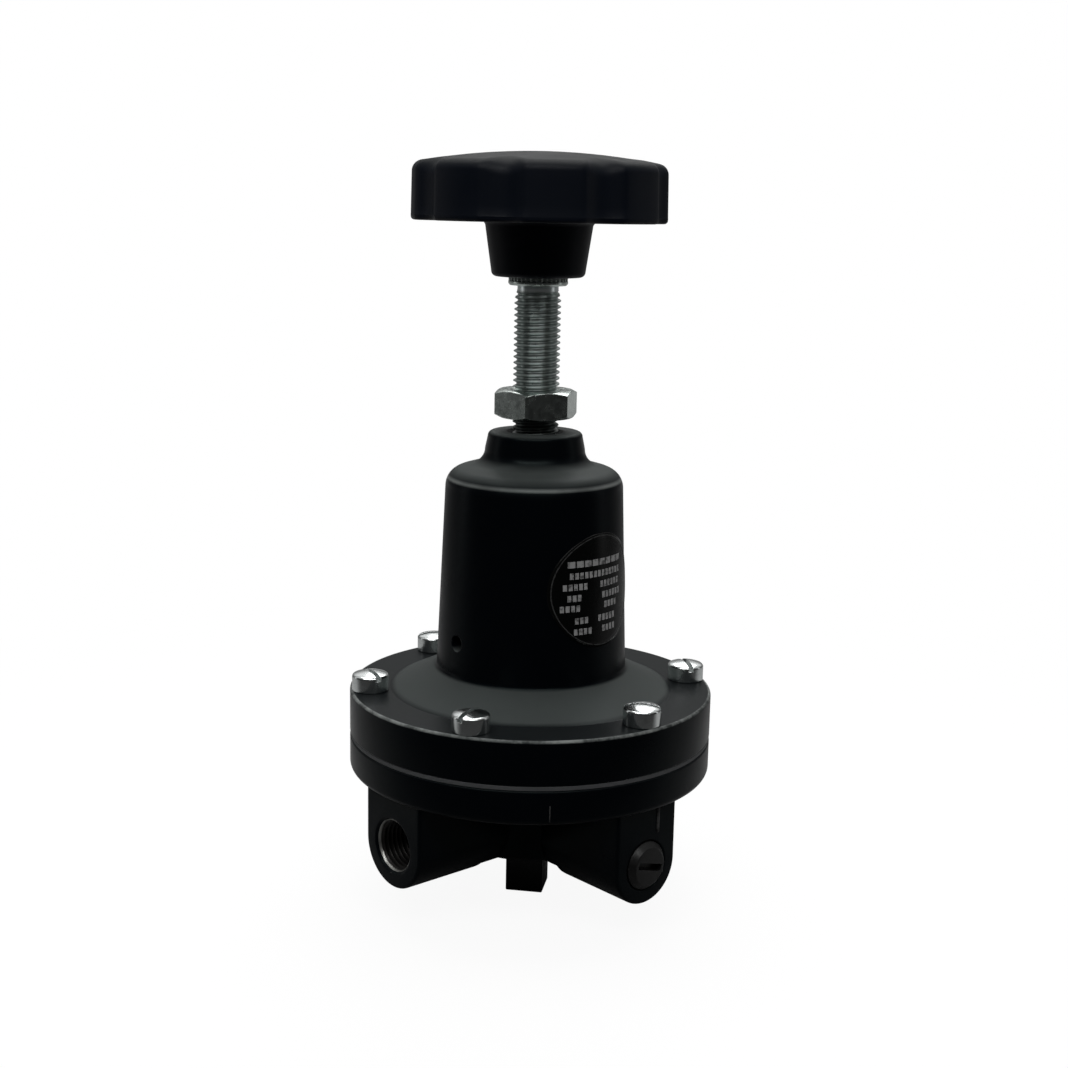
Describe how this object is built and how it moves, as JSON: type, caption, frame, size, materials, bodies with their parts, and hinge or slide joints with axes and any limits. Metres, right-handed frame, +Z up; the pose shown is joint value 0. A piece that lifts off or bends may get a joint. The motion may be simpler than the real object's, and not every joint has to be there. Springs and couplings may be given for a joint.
{
  "type": "pressure regulator",
  "caption": "Knob-adjusted diaphragm air pressure regulator: round clamped body with threaded ports in line, tall spring bonnet, long adjusting screw with locknut and a fluted hand knob.",
  "frame": {"origin": "centre of the bottom plug's lower face, on which the part stands", "axes": "+Z up the adjusting screw towards the knob, +X out of the outlet port, -Y out of the front gauge port"},
  "size_m": [0.095, 0.095, 0.1939],
  "materials": {
    "black_paint": "semi-gloss black stoved paint on die-cast zinc",
    "black_plug": "black oiled steel, satin",
    "zinc_plate": "bright zinc plate on steel",
    "spring_steel": "oiled spring steel wire",
    "pressed_steel": "zinc-plated pressed steel",
    "brass": "turned brass",
    "rubber": "moulded nitrile rubber, matt",
    "gasket": "red-brown pressed fibre",
    "label": "dark printed film with a thin pale ring",
    "knob_plastic": "black moulded plastic, satin"
  },
  "bodies": {
    "housing": {"body": "black_paint", "bottom_plug": "black_plug", "bottom_plug_oring": "rubber", "gauge_plug_front": "black_plug", "gauge_plug_rear": "black_plug", "valve_seat": "brass", "seat_gasket": "gasket", "valve_spring": "spring_steel", "diaphragm": "rubber", "bonnet": "black_paint", "bonnet_label": "label", "bonnet_screws": "zinc_plate"},
    "valve": {"valve_poppet": "brass", "valve_pad": "rubber", "valve_pin": "zinc_plate"},
    "diaphragm_stack": {"lower_diaphragm_plate": "pressed_steel", "upper_diaphragm_plate": "pressed_steel", "diaphragm_stem": "brass", "diaphragm_nut": "zinc_plate", "lower_spring_seat": "pressed_steel", "range_spring": "spring_steel"},
    "button": {"spring_button": "zinc_plate"},
    "screw": {"adjusting_screw": "zinc_plate", "knob_insert": "zinc_plate", "knob": "knob_plastic"},
    "nut": {"locknut": "zinc_plate"}
  },
  "joints": [
    {"name": "screw_travel", "type": "slide", "parent": "housing", "child": "button", "axis": [0, 0, 1], "range_m": [-0.018, 0], "deforming": ["range_spring"]},
    {"name": "knob_turn", "type": "hinge", "parent": "button", "child": "screw", "pos_m": [0, 0, 0.1631], "axis": [0, 0, 1], "range_deg": [-4320, 0]},
    {"name": "locknut_travel", "type": "slide", "parent": "housing", "child": "nut", "axis": [0, 0, 1], "range_m": [-0.00365, 0.006]},
    {"name": "diaphragm_travel", "type": "slide", "parent": "housing", "child": "diaphragm_stack", "axis": [0, 0, 1], "range_m": [-0.0012, 0], "stiffness_N_per_m": 1200, "springref_m": 0.0025, "deforming": ["diaphragm"]},
    {"name": "valve_travel", "type": "slide", "parent": "housing", "child": "valve", "axis": [0, 0, 1], "range_m": [-0.0012, 0], "stiffness_N_per_m": 500, "springref_m": 0.002, "deforming": ["valve_spring"]}
  ],
  "couplings": [
    {"joint": "screw_travel", "follows": "knob_turn", "m_per_rad": 0.00023873},
    {"joint": "valve_travel", "follows": "diaphragm_travel", "ratio": 1}
  ]
}
